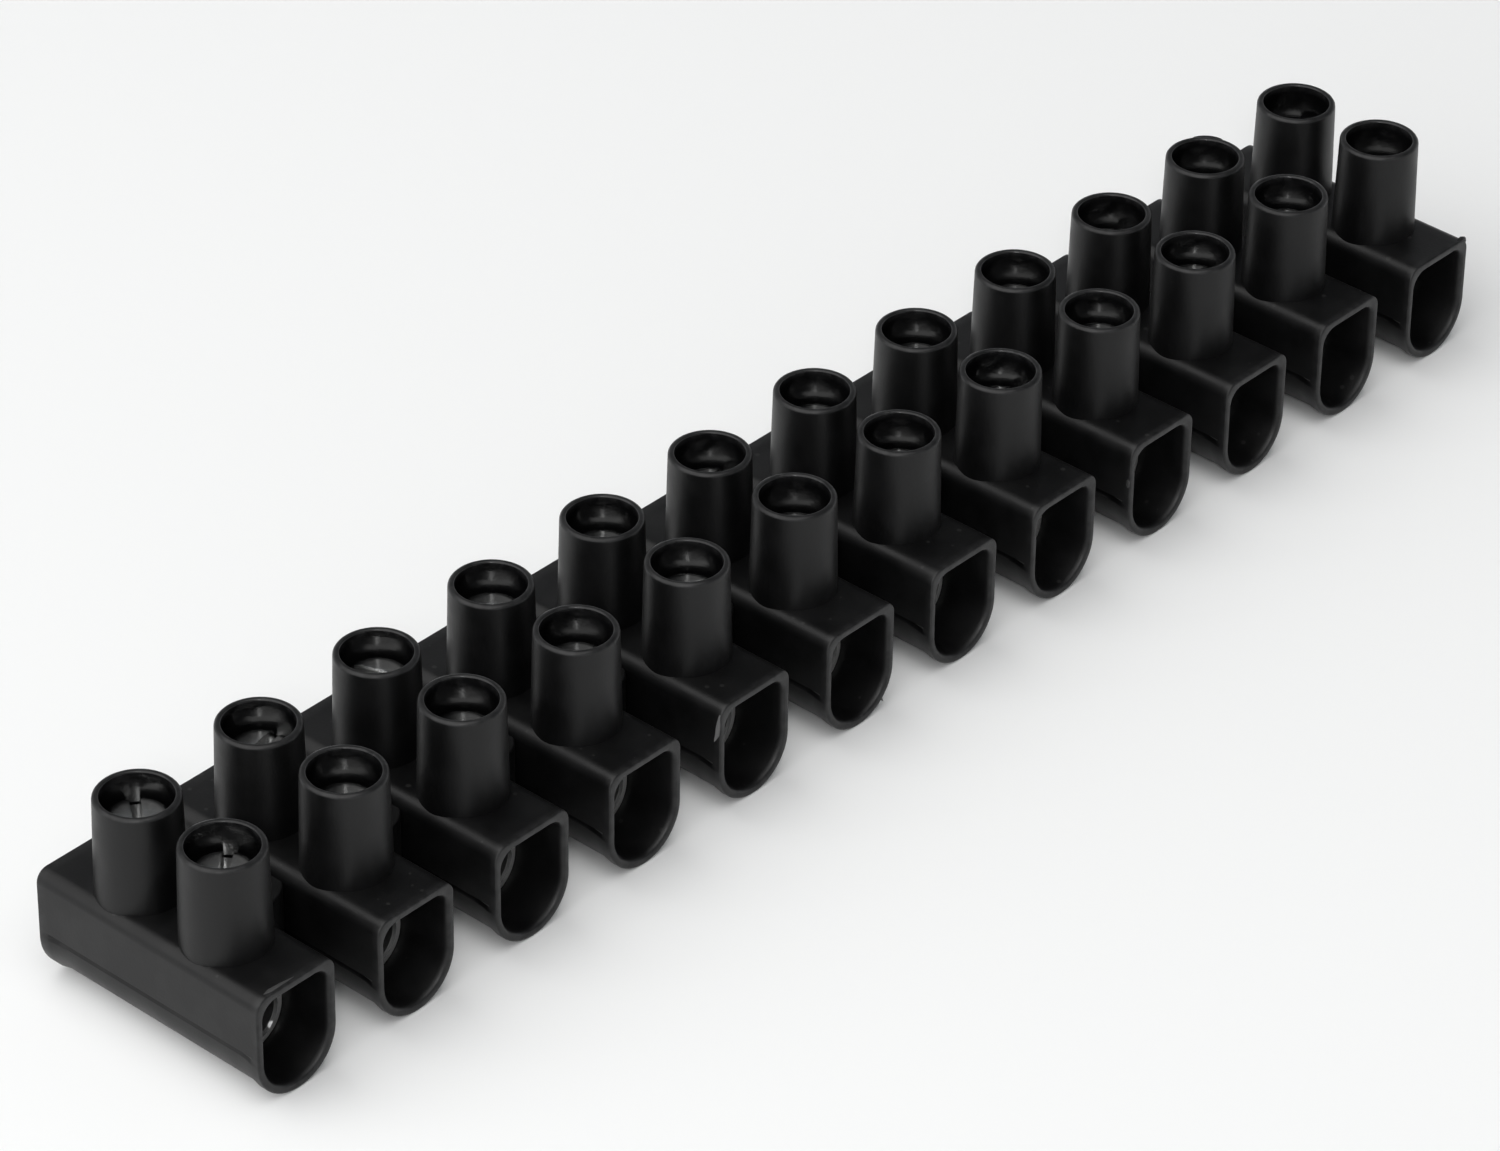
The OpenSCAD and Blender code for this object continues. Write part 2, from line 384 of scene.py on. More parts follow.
def plastic_material():
    """Satin black moulding: fine skin, cloudy gloss, polished bores, rubbed edges, dust and torn burrs."""
    name = "black_moulding"
    if name in bpy.data.materials:
        return bpy.data.materials[name]
    settings = bpy.context.scene.terminal_strip.moulding
    material, tree, shader, place = new_material(name, {"Specular IOR Level": 0.33})
    skin = put(
        tree, "ShaderNodeGroup",
        {"Vector": place, "Fine scale": 5200.0, "Broad scale": 420.0, "Broad share": 1.6},
        node_tree=shared("uneven_skin", grain_group),
    )
    dust = put(
        tree, "ShaderNodeGroup", {"Vector": place, "Speck scale": 1300.0, "Amount": settings.dust},
        node_tree=shared("settled_dust", dust_group),
    )
    edge = put(tree, "ShaderNodeAttribute", attribute_name="edge").outputs["Fac"]
    bore = put(tree, "ShaderNodeAttribute", attribute_name="bore").outputs["Fac"]
    torn = put(tree, "ShaderNodeAttribute", attribute_name="torn").outputs["Fac"]
    patches = ramp(tree, noise(tree, place, scale=1500.0, detail=3.0), low=0.35, high=0.65, to_low=0.25)
    rub = math_node(tree, "MULTIPLY", edge, patches)
    toned = tones(tree, skin.outputs["Tone"], settings.black, first=0.8, second=1.2)
    rubbed = blend_colours(tree, math_node(tree, "MULTIPLY", rub, RUB_TINT), toned, RUBBED_GREY)
    dusted = math_node(tree, "MULTIPLY", dust.outputs["Mask"], DUST_TINT)
    dusty = blend_colours(tree, dusted, rubbed, DUST_GREY)
    whitened = blend_colours(tree, torn, dusty, tuple(bpy.context.scene.terminal_strip.burr.torn))
    tree.links.new(whitened, shader.inputs["Base Color"])
    satin = ramp(tree, skin.outputs["Tone"], 0.0, 1.0, to_low=0.40, to_high=0.47)
    polished = math_node(tree, "SUBTRACT", satin, math_node(tree, "MULTIPLY", bore, BORE_GLOSS))
    worn = math_node(tree, "SUBTRACT", polished, math_node(tree, "MULTIPLY", rub, RUB_GLOSS))
    tree.links.new(worn, shader.inputs["Roughness"])
    bump = put(
        tree, "ShaderNodeBump",
        {"Height": skin.outputs["Height"], "Strength": 0.6, "Distance": mm(0.012)},
    )
    tree.links.new(bump.outputs["Normal"], shader.inputs["Normal"])
    return material


def plate_material():
    """Zinc plate over turned steel: rings round the axis, cloudy tone and gloss."""
    name = "zinc_plate"
    if name in bpy.data.materials:
        return bpy.data.materials[name]
    settings = bpy.context.scene.terminal_strip.screw
    material, tree, shader, place = new_material(name, {"Metallic": 1.0})
    skin = put(
        tree, "ShaderNodeGroup",
        {"Vector": place, "Fine scale": 3800.0, "Broad scale": 700.0, "Broad share": 0.6},
        node_tree=shared("uneven_skin", grain_group),
    )
    radius = put(tree, "ShaderNodeAttribute", attribute_name="turned").outputs["Fac"]
    rings = math_node(tree, "SINE", math_node(tree, "MULTIPLY", radius, 2 * math.pi / TURNING_STEP))
    tone = tones(tree, skin.outputs["Tone"], settings.plate, first=0.72, second=1.0)
    tree.links.new(tone, shader.inputs["Base Color"])
    gloss = ramp(tree, skin.outputs["Tone"], 0.0, 1.0, to_low=0.26, to_high=0.15)
    tree.links.new(gloss, shader.inputs["Roughness"])
    marks = math_node(tree, "MULTIPLY", rings, TURNING_HEIGHT)
    height = math_node(tree, "ADD", marks, skin.outputs["Height"])
    bump = put(tree, "ShaderNodeBump", {"Height": height, "Strength": 0.5, "Distance": mm(0.01)})
    tree.links.new(bump.outputs["Normal"], shader.inputs["Normal"])
    return material


def insert_material():
    """Plate over a drawn block: fine lines along the draw, cloudy tarnish, painted shade in the wire bore and
    round its edge, and a painted glint on one polished nick.
    """
    name = "drawn_plate"
    if name in bpy.data.materials:
        return bpy.data.materials[name]
    settings = bpy.context.scene.terminal_strip.insert
    material, tree, shader, place = new_material(name, {"Metallic": 1.0})
    drawn = put(tree, "ShaderNodeMapping", {"Vector": place, "Scale": (1.0, 0.02, 1.0)}).outputs["Vector"]
    lines = noise(tree, drawn, scale=9000.0)
    tarnish = ramp(tree, noise(tree, place, scale=500.0, detail=4.0), low=0.4, high=0.75)
    plate = Vector(settings.plate)
    tone = tones(tree, tarnish, plate, first=1.0, second=0.7)
    apart = put(tree, "ShaderNodeSeparateXYZ", {"Vector": place})
    across = math_node(
        tree, "WRAP", math_node(tree, "SUBTRACT", apart.outputs["X"], POLE_X[0]), -PITCH / 2, PITCH / 2
    )
    off_axis = math_node(tree, "SUBTRACT", apart.outputs["Z"], WIRE_Z)
    away = put(tree, "ShaderNodeVectorMath", {
        0: put(tree, "ShaderNodeCombineXYZ", {"X": across, "Y": off_axis}).outputs["Vector"],
    }, operation="LENGTH").outputs["Value"]
    # Painted shade: the wire bore and the lead round its edge are painted darker than the plate
    bore_shade_mask = within(tree, away, full=WIRE_R + mm(0.01), gone=WIRE_R + mm(0.04))
    lead_shade_mask = within(tree, away, full=WIRE_R + mm(0.14), gone=WIRE_R + mm(0.17))
    lead_shaded = blend_colours(tree, lead_shade_mask, tone, tuple(plate * LEAD_PAINTED_SHADE))
    bore_shaded = blend_colours(tree, bore_shade_mask, lead_shaded, tuple(plate * BORE_PAINTED_SHADE))
    # Painted highlight: the nick's colour is brightened past the plate's to paint a glint; its lower
    # roughness is real gloss
    nick = put(tree, "ShaderNodeVectorMath", {0: place, 1: NICK_GLINT_SPOT}, operation="DISTANCE")
    glint_spot_mask = within(tree, nick.outputs["Value"], full=mm(0.15), gone=mm(0.3))
    glint_painted = blend_colours(tree, glint_spot_mask, bore_shaded, tuple(plate * NICK_PAINTED_GLINT))
    tree.links.new(glint_painted, shader.inputs["Base Color"])
    rough = ramp(tree, tarnish, 0.0, 1.0, to_low=0.55, to_high=0.7)
    smoothed = math_node(tree, "SUBTRACT", rough, math_node(tree, "MULTIPLY", glint_spot_mask, NICK_GLOSS))
    tree.links.new(smoothed, shader.inputs["Roughness"])
    bump = put(tree, "ShaderNodeBump", {"Height": lines, "Strength": 0.5, "Distance": mm(0.01)})
    tree.links.new(bump.outputs["Normal"], shader.inputs["Normal"])
    return material


def paper_material():
    """Matt pale floor with a faint cloudiness."""
    settings = bpy.context.scene.terminal_strip.stage
    constants = {"Specular IOR Level": 0.2, "Roughness": 0.85}
    material, tree, shader, place = new_material("table_paper", constants)
    cloud = noise(tree, place, scale=6.0, detail=3.0)
    tone = tones(tree, cloud, settings.paper, first=0.985, second=1.0)
    tree.links.new(tone, shader.inputs["Base Color"])
    return material


# Meshes

def new_object(name, data):
    """An object at the origin that holds a mesh, a lamp or a camera."""
    made = bpy.data.objects.new(name, data)
    bpy.context.scene.collection.objects.link(made)
    return made


def skin_rings(mesh, rings, closed):
    """Faces between rings of points; the last ring meets the first, or both ends are capped."""
    loops = [[mesh.verts.new(point) for point in ring] for ring in rings]
    following = loops[1:] + loops[:1] if closed else loops[1:]
    for near, far in zip(loops, following):
        for k, vertex in enumerate(near):
            mesh.faces.new((vertex, near[k - 1], far[k - 1], far[k]))
    if not closed:
        mesh.faces.new(loops[0])
        mesh.faces.new(loops[-1])


def solid(name, ring_sets, closed=False):
    """An object made of one or more solids, each a list of rings of points."""
    mesh = bmesh.new()
    for rings in ring_sets:
        skin_rings(mesh, rings, closed)
    bmesh.ops.recalc_face_normals(mesh, faces=mesh.faces)
    data = bpy.data.meshes.new(name)
    mesh.to_mesh(data)
    mesh.free()
    return new_object(name, data)


def lathe(outline, y=0.0):
    """Rings of points of an outline of (radius, height) turned about an upright axis at x = 0."""
    turns = [2 * math.pi * k / LATHE_STEPS for k in range(LATHE_STEPS)]
    return [[(r * math.cos(a), y + r * math.sin(a), z) for a in turns] for r, z in outline]


def arc(centre, radius, start, end, steps):
    """Points of a round stretch, from one angle in degrees to another."""
    angles = [math.radians(start + (end - start) * k / steps) for k in range(steps + 1)]
    return [(centre[0] + radius * math.cos(a), centre[1] + radius * math.sin(a)) for a in angles]


def evaluated_mesh(thing):
    """The object's mesh with its modifiers applied."""
    graph = bpy.context.evaluated_depsgraph_get()
    return bpy.data.meshes.new_from_object(
        thing.evaluated_get(graph), preserve_all_data_layers=True, depsgraph=graph
    )


def settle(thing):
    """Turns an object's modifiers into plain mesh."""
    mesh = evaluated_mesh(thing)
    thing.modifiers.clear()
    old, thing.data = thing.data, mesh
    bpy.data.meshes.remove(old)
    if not mesh.polygons:
        raise RuntimeError(f"{thing.name} came out empty")


def carve(body, operation, *tools):
    """Joins solids to a body or cuts them out of it; the tools are used up."""
    for tool in tools:
        step = body.modifiers.new("carve", "BOOLEAN")
        step.operation = operation
        step.solver = "MANIFOLD"
        step.object = tool
    settle(body)
    for tool in tools:
        bpy.data.objects.remove(tool)


def soften(thing):
    """Even shading: round stretches are smooth and flat ones stay flat."""
    thing.data.shade_smooth()
    thing.data.set_sharp_from_angle(angle=math.radians(38))
    weigh = thing.modifiers.new("even shading", "WEIGHTED_NORMAL")
    weigh.keep_sharp = True
    settle(thing)


def mark(mesh, name, values):
    """Keeps one number for each vertex, for a material to read."""
    layer = mesh.attributes.new(name, "FLOAT", "POINT")
    layer.data.foreach_set("value", np.asarray(values, np.float32))


def vertex_places(mesh):
    """A mesh's vertices as an array."""
    places = np.zeros(len(mesh.vertices) * 3, np.float32)
    mesh.vertices.foreach_get("co", places)
    return places.reshape(-1, 3).astype(float)


# The moulding

# Height of the crease under a tube's parting line, and its points as shares of its depth and height
CREASE = mm(0.5)
CREASE_SHAPE = [(0, 1), (0.65, 0.75), (1, 0.25)]
# Where a turret's wall has rings, as shares of its height
TURRET_RINGS = (0, 0.3, 0.6)
# How far below the channel's ceiling a turret's bore is cut, and how it opens out: out from its wall and up
# from the rim, in bevels
BORE_REACH = mm(0.3)
BORE_MOUTH = [(0, -4), (0, -1), (0.1, -0.6), (0.4, -0.2), (1.1, 0.1), (1.1, 4)]
# How a fixing hole opens out: how wide, and from how far past the boss's end, in edge radii
HOLE_LEAD = 1.2
HOLE_PAST = 0.2
# How far the mark of a bore reaches past its wall and the ceiling
BORE_SLACK = mm(0.02)
CEILING_SLACK = mm(0.05)
# How far the marks of rubbed rims and mouths reach, in edge radii
RIM_RUB = 0.9
MOUTH_RUB = 1.01


def section(low_width, up_width, rise, edge, parting, groove):
    """A U-shaped ring about the wire's axis as (x, z), with as many points at every size."""
    right = arc((0, 0), low_width / 2, -90, 0, BOTTOM_STEPS)
    right += [(low_width / 2 - deep * groove, parting - down * CREASE) for deep, down in CREASE_SHAPE]
    side = rise - edge - parting
    right += [(up_width / 2, parting + side * k / SIDE_STEPS) for k in range(SIDE_STEPS)]
    right += arc((up_width / 2 - edge, rise - edge), edge, 0, 90, CORNER_STEPS)
    right += [((up_width / 2 - edge) * (1 - k / TOP_STEPS), rise) for k in range(1, TOP_STEPS + 1)]
    return right + [(-x, z) for x, z in reversed(right[1:-1])]


def tube_rings(settings):
    """Rings along the outside of one tube and back through its channel, as one closed skin."""
    rise = settings.tube_top - WIRE_Z
    channel_rise = settings.channel_top - WIRE_Z
    end = TUBE_LEN / 2
    mouth_width = settings.channel_width + 2 * settings.mouth_relief
    mouth_rise = channel_rise + settings.mouth_relief
    mouth_edge = settings.channel_edge + settings.mouth_relief

    def outer(y, step=0.0, groove=0.0, inset=0.0):
        width = settings.tube_width - 2 * inset
        return y, width - 2 * step, width, rise - inset, settings.top_edge - inset, groove

    def mouth(y, outset=0.0):
        width = mouth_width + 2 * outset
        return y, width, width, mouth_rise + outset, mouth_edge + outset, 0.0

    def channel(y):
        width = settings.channel_width
        return y, width, width, channel_rise, settings.channel_edge, 0.0

    turns = [math.radians(90 * k / MOUTH_STEPS) for k in range(MOUTH_STEPS + 1)]

    def bends(width, depth):
        return [(width * (1 - math.cos(a)), depth * (1 - math.sin(a))) for a in turns]

    outside = bends(settings.mouth_outer, settings.mouth_outer)
    inside = bends(settings.mouth_inner, settings.mouth_round)

    def end_rings(collar):
        rings = [outer(end - collar)]
        rings += [outer(end - depth, inset=inset) for inset, depth in outside]
        rings += [mouth(end - depth, outset) for outset, depth in reversed(inside)]
        return rings + [channel(end - settings.mouth_depth)]

    front = [(-y, *rest) for y, *rest in reversed(end_rings(settings.front_collar))]
    back = end_rings(settings.back_collar)
    start = settings.front_collar + settings.collar_blend - end
    stop = end - settings.back_collar - settings.collar_blend
    count = math.ceil((stop - start) / TUBE_STEP)
    along = [
        outer(start + (stop - start) * k / count, settings.parting_step, settings.parting_groove)
        for k in range(count + 1)
    ]
    inner_end = end - settings.mouth_depth
    through = [channel(inner_end * (1 - 2 * k / CHANNEL_STEPS)) for k in range(1, CHANNEL_STEPS)]
    return [
        [(x, y, WIRE_Z + z) for x, z in section(low, up, top, edge, settings.parting_rise, groove)]
        for y, low, up, top, edge, groove in front + along + back + through
    ]


def turret_rings(settings, y):
    """Rings of a solid turret that tapers to its rounded rim, its foot sunk into the tube."""
    base_r = settings.turret_base / 2
    rim_r = settings.turret_rim / 2
    edge = settings.rim_edge
    wall_top = RIM_Z - edge
    wall = wall_top - settings.tube_top
    outline = [(base_r, settings.tube_top - settings.turret_sink)]
    outline += [
        (base_r + (rim_r - base_r) * part, settings.tube_top + wall * part) for part in TURRET_RINGS
    ]
    outline += arc((rim_r - edge, wall_top), edge, 0, 90, EDGE_STEPS)
    return lathe(outline, y)


def bore_rings(settings, y):
    """Rings of the bore down a turret, opening out at the rim."""
    radius = settings.turret_bore / 2
    bevel = settings.rim_bevel
    outline = [(radius, settings.channel_top - BORE_REACH), (radius, settings.tube_top)]
    outline += [(radius + out * bevel, RIM_Z + up * bevel) for out, up in BORE_MOUTH]
    return lathe(outline, y)


def boss_outline(settings):
    """Outline of a fixing boss, its edges rounded."""
    radius = settings.boss_width / 2
    soft = settings.boss_soft
    top = settings.boss_height
    outline = arc((radius - soft, soft), soft, -90, 0, SOFT_STEPS)
    return outline + arc((radius - soft, top - soft), soft, 0, 90, SOFT_STEPS)


def fixing_hole_outline(settings):
    """Outline of the hole through a boss, opened out a little at both ends."""
    soft = settings.boss_soft
    top = settings.boss_height
    wide = FIX_R + HOLE_LEAD * soft
    past = HOLE_PAST * soft
    return [
        (wide, -TOOL_PAST), (wide, -past), (FIX_R, soft), (FIX_R, top / 2), (FIX_R, top - soft),
        (wide, top + past), (wide, top + TOOL_PAST),
    ]


def strip_tree():
    """Geometry nodes: a row of poles, the bosses between them, and the holes through the bosses."""
    tree, given, made = new_tree(
        "row_of_poles", "GeometryNodeTree",
        [("Geometry", "NodeSocketGeometry"), ("Poles", "NodeSocketInt"), ("Pitch", "NodeSocketFloat"),
         ("Boss", "NodeSocketObject"), ("Fixing hole", "NodeSocketObject"),
         ("Plastic", "NodeSocketMaterial")],
        [("Geometry", "NodeSocketGeometry")],
    )
    tree.is_modifier = True
    gaps = math_node(tree, "SUBTRACT", given["Poles"], 1.0)
    step = put(tree, "ShaderNodeCombineXYZ", {"X": given["Pitch"]}).outputs["Vector"]

    def row(shape, count):
        last = math_node(tree, "SUBTRACT", count, 1.0)
        start = math_node(tree, "MULTIPLY", math_node(tree, "MULTIPLY", last, -0.5), given["Pitch"])
        corner = put(tree, "ShaderNodeCombineXYZ", {"X": start}).outputs["Vector"]
        line = put(tree, "GeometryNodeMeshLine", {"Count": count, "Start Location": corner, "Offset": step})
        copies = put(
            tree, "GeometryNodeInstanceOnPoints", {"Points": line.outputs["Mesh"], "Instance": shape}
        )
        return put(tree, "GeometryNodeRealizeInstances", {0: copies.outputs["Instances"]}).outputs[0]

    def shape_of(name):
        return put(tree, "GeometryNodeObjectInfo", {"Object": given[name]}).outputs["Geometry"]

    joined = put(tree, "GeometryNodeMeshBoolean", operation="UNION", solver="MANIFOLD")
    tree.links.new(row(given["Geometry"], given["Poles"]), joined.inputs["Mesh 2"])
    tree.links.new(row(shape_of("Boss"), gaps), joined.inputs["Mesh 2"])
    drilled = put(
        tree, "GeometryNodeMeshBoolean", {"Mesh 1": joined.outputs["Mesh"]},
        operation="DIFFERENCE", solver="MANIFOLD",
    )
    tree.links.new(row(shape_of("Fixing hole"), gaps), drilled.inputs["Mesh 2"])
    plain = put(tree, "GeometryNodeRealizeInstances", {0: drilled.outputs["Mesh"]})
    coated = put(
        tree, "GeometryNodeSetMaterial", {"Geometry": plain.outputs[0], "Material": given["Plastic"]}
    )
    tree.links.new(coated.outputs["Geometry"], made["Geometry"])
    return tree


def give_nodes(thing, tree, values):
    """Adds a geometry nodes modifier and sets its named inputs by their identifiers."""
    modifier = thing.modifiers.new(tree.name, "NODES")
    modifier.node_group = tree
    known = {item.name: item.identifier for item in tree.interface.items_tree if item.in_out == "INPUT"}
    for name, value in values.items():
        modifier[known[name]] = value


def turret_spot(places):
    """Each vertex's distance from its nearest turret's axis."""
    across = np.min(np.abs(places[:, 0:1] - np.array(POLE_X)[None, :]), axis=1)
    along = np.abs(np.abs(places[:, 1]) - SCREW_Y)
    return np.hypot(across, along)


def mark_moulding(mesh, settings):
    """Marks the polished bores and the edges that get rubbed."""
    places = vertex_places(mesh)
    spot = turret_spot(places)
    near_axis = spot < settings.turret_bore / 2 + BORE_SLACK
    mark(mesh, "bore", near_axis & (places[:, 2] > settings.channel_top - CEILING_SLACK))
    rim = places[:, 2] > RIM_Z - settings.rim_edge * RIM_RUB
    mouth = np.abs(places[:, 1]) > TUBE_LEN / 2 - settings.mouth_outer * MOUTH_RUB
    mark(mesh, "edge", rim | mouth)


class TERMINALSTRIP_OT_moulding(bpy.types.Operator):
    """Makes the one-piece moulded housing: tubes, turrets and fixing bosses"""

    bl_idname = "terminal_strip.moulding"
    bl_label = "Moulded housing"

    def execute(self, context):
        settings = context.scene.terminal_strip.moulding
        housing = solid("housing_moulding", [tube_rings(settings)], closed=True)
        turrets = solid("turrets", [turret_rings(settings, y) for y in (-SCREW_Y, SCREW_Y)])
        bores = solid("bores", [bore_rings(settings, y) for y in (-SCREW_Y, SCREW_Y)])
        carve(housing, "UNION", turrets)
        carve(housing, "DIFFERENCE", bores)
        boss = solid("boss", [lathe(boss_outline(settings))])
        hole = solid("fixing_hole", [lathe(fixing_hole_outline(settings))])
        give_nodes(housing, strip_tree(), {
            "Poles": len(POLE_X), "Pitch": PITCH, "Boss": boss, "Fixing hole": hole,
            "Plastic": plastic_material(),
        })
        settle(housing)
        for tool in (boss, hole):
            bpy.data.objects.remove(tool)
        mark_moulding(housing.data, settings)
        soften(housing)
        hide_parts("housing")
        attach(housing, STRIP_BODY)
        return {"FINISHED"}


# The burrs

# Burrs at the front mouths, in millimetres from the foot of the pole's front end: the pole, how much the
# burr is whitened by tearing, the way it is wide, and its stations (right, behind the rim, up, half width,
# half thickness)
MOUTH_BURRS = [
    (5, 0.55, (1, 0, 0), [  # torn flap with a hooked tip
        (-2.9, 0.14, 7.6, 0.3, 0.08), (-3.08, 0.12, 7.2, 0.32, 0.08), (-3.2, 0.11, 6.8, 0.32, 0.07),
        (-3.28, 0.11, 6.4, 0.28, 0.06), (-3.38, 0.11, 6.1, 0.26, 0.05), (-3.5, 0.12, 5.95, 0.16, 0.03),
        (-3.6, 0.12, 5.85, 0.02, 0.01),
    ]),
    (12, 0.0, (0, 1, 0), [  # raised lip round the outer corner
        (2.1, 0.2, 8.0, 0.05, 0.03), (2.4, 0.2, 8.06, 0.16, 0.1), (2.7, 0.2, 8.08, 0.18, 0.14),
        (2.95, 0.2, 7.98, 0.18, 0.15), (3.06, 0.2, 7.75, 0.14, 0.12), (3.12, 0.2, 7.5, 0.05, 0.03),
    ]),
    (6, 0.2, (0.8, 0, 0.6), [  # thorn low on the right
        (2.1, 0.12, 1.02, 0.2, 0.06), (2.28, 0.11, 0.78, 0.08, 0.04), (2.4, 0.1, 0.6, 0.01, 0.01),
    ]),
    (1, 0.3, (0, 1, 0), [  # flake lying behind the rim
        (-2.3, 0.35, 8.095, 0.02, 0.01), (-1.8, 0.34, 8.11, 0.16, 0.02), (-0.9, 0.32, 8.11, 0.12, 0.02),
        (0.1, 0.26, 8.095, 0.02, 0.01),
    ]),
    (9, 0.2, (0, 1, 0), [  # swelling on the left wall
        (-3.16, 0.2, 5.75, 0.05, 0.03), (-3.2, 0.2, 5.45, 0.14, 0.08), (-3.2, 0.2, 5.2, 0.14, 0.08),
        (-3.16, 0.2, 4.9, 0.05, 0.03),
    ]),
]
# Nibs on the turrets' rims: the row, the pole, the distance in millimetres and the way in degrees from the
# turret's axis, and how many degrees and millimetres of the rim they take
RIM_NIBS = [
    (-1, 2, 2.33, 92, 16, 0.07), (-1, 2, 2.33, 2, 14, 0.06), (-1, 3, 2.33, 88, 18, 0.07),
    (-1, 4, 2.33, 60, 14, 0.05), (1, 11, 2.66, 35, 50, 0.14), (-1, 8, 2.33, 15, 10, 0.05),
    (1, 5, 2.33, 70, 12, 0.05),
]
# How finely a nib is drawn along, and a burr or nib round
NIB_STATIONS = 9
LEAF_STEPS = 8
# Share of its swelling that a nib's tip keeps, and its breadth beside its height
NIB_TIP = 0.1
NIB_BREADTH = 1.4


def leaf_rings(places, across, half_sizes):
    """Rings of a thin leaf along some places, wide one way and thin the other."""
    wide = Vector(across).normalized()
    turns = [2 * math.pi * k / LEAF_STEPS for k in range(LEAF_STEPS)]
    rings = []
    for k, (place, (half_width, half_thickness)) in enumerate(zip(places, half_sizes)):
        before, after = places[max(k - 1, 0)], places[min(k + 1, len(places) - 1)]
        way = (Vector(after) - Vector(before)).normalized()
        thin = way.cross(wide).normalized()
        rings.append([
            Vector(place) + wide * half_width * math.cos(a) + thin * half_thickness * math.sin(a)
            for a in turns
        ])
    return rings


def mouth_burr(pole, torn, across, stations):
    """Rings of one burr at a front mouth."""
    places = [(POLE_X[pole - 1] + mm(x), mm(y) - TUBE_LEN / 2, mm(z)) for x, y, z, *sizes in stations]
    return leaf_rings(places, across, [(mm(wide), mm(thin)) for *place, wide, thin in stations])


def rim_nib(row, pole, away, way, spread, height):
    """Rings of one nib along a turret's rim."""
    places, sizes = [], []
    for k in range(NIB_STATIONS):
        part = 2 * k / (NIB_STATIONS - 1) - 1
        turn = math.radians(way + spread / 2 * part)
        swell = max(math.sqrt(1 - part ** 2), NIB_TIP)
        places.append((
            POLE_X[pole - 1] + mm(away) * math.cos(turn), row * SCREW_Y + mm(away) * math.sin(turn),
            RIM_Z - mm(height),
        ))
        sizes.append((mm(height) * swell, mm(height) * NIB_BREADTH * swell))
    return leaf_rings(places, (0, 0, 1), sizes)


class TERMINALSTRIP_OT_burrs(bpy.types.Operator):
    """Makes the burrs and nibs that the mould left on the housing"""

    bl_idname = "terminal_strip.burrs"
    bl_label = "Moulding burrs"

    def execute(self, context):
        worn = context.scene.terminal_strip.burr.worn
        leaves = [mouth_burr(*burr) for burr in MOUTH_BURRS] + [rim_nib(*nib) for nib in RIM_NIBS]
        torn = [torn for pole, torn, *shape in MOUTH_BURRS] + [0.0] * len(RIM_NIBS)
        burrs = solid("moulding_burrs", leaves)
        burrs.data.materials.append(plastic_material())
        mark(burrs.data, "edge", np.full(len(burrs.data.vertices), worn))
        mark(burrs.data, "torn", np.repeat(torn, [LEAF_STEPS * len(rings) for rings in leaves]))
        soften(burrs)
        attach(burrs, STRIP_BODY)
        return {"FINISHED"}


# The screws

# How far the core lies under the thread's crests, and how much of the shank the thread leaves bare at its
# two ends together, in ridge radii
CORE_DEPTH = 1.1
BARE_SHANK = 3
# Share of its width that the blunt end of the point keeps
POINT_BLUNT = 0.9
# Bevel under the head, and how far below its rounded top edge the wall has a ring
HEAD_BEVEL = mm(0.08)
HEAD_WALL = mm(0.2)
# Where the flat top of a head has rings, as shares of its radius
HEAD_RINGS = (0.65, 0.5, 0.3, 0.1)


def screw_blank(settings, head_width, shank_len):
    """A slotted blank with its point at the origin: head, core and point, not yet threaded."""
    core = settings.shank_width / 2 - settings.ridge * CORE_DEPTH
    point = settings.shank_width / 2 - settings.point_height
    head_r = head_width / 2
    top = shank_len + settings.head_height
    edge = settings.head_edge
    outline = [
        (point * POINT_BLUNT, 0.0), (core, settings.point_height), (core, shank_len),
        (head_r - HEAD_BEVEL, shank_len), (head_r, shank_len + HEAD_BEVEL), (head_r, top - edge - HEAD_WALL),
    ]
    outline += arc((head_r - edge, top - edge), edge, 0, 90, EDGE_STEPS)
    outline += [(head_r * part, top) for part in HEAD_RINGS]
    blank = solid("screw_blank", [lathe(outline)])
    half = settings.slot_width / 2
    floor = top - settings.slot_depth
    over = top + TOOL_PAST
    slot = solid("slot", [[
        [(x, -half, floor), (x, half, floor), (x, half, over), (x, -half, over)]
        for x in (-head_width, head_width)
    ]])
    carve(blank, "DIFFERENCE", slot)
    bevel = blank.modifiers.new("slot edges", "BEVEL")
    bevel.width = settings.slot_soft
    bevel.segments = 2
    bevel.limit_method = "ANGLE"
    bevel.angle_limit = math.radians(60)
    settle(blank)
    return blank


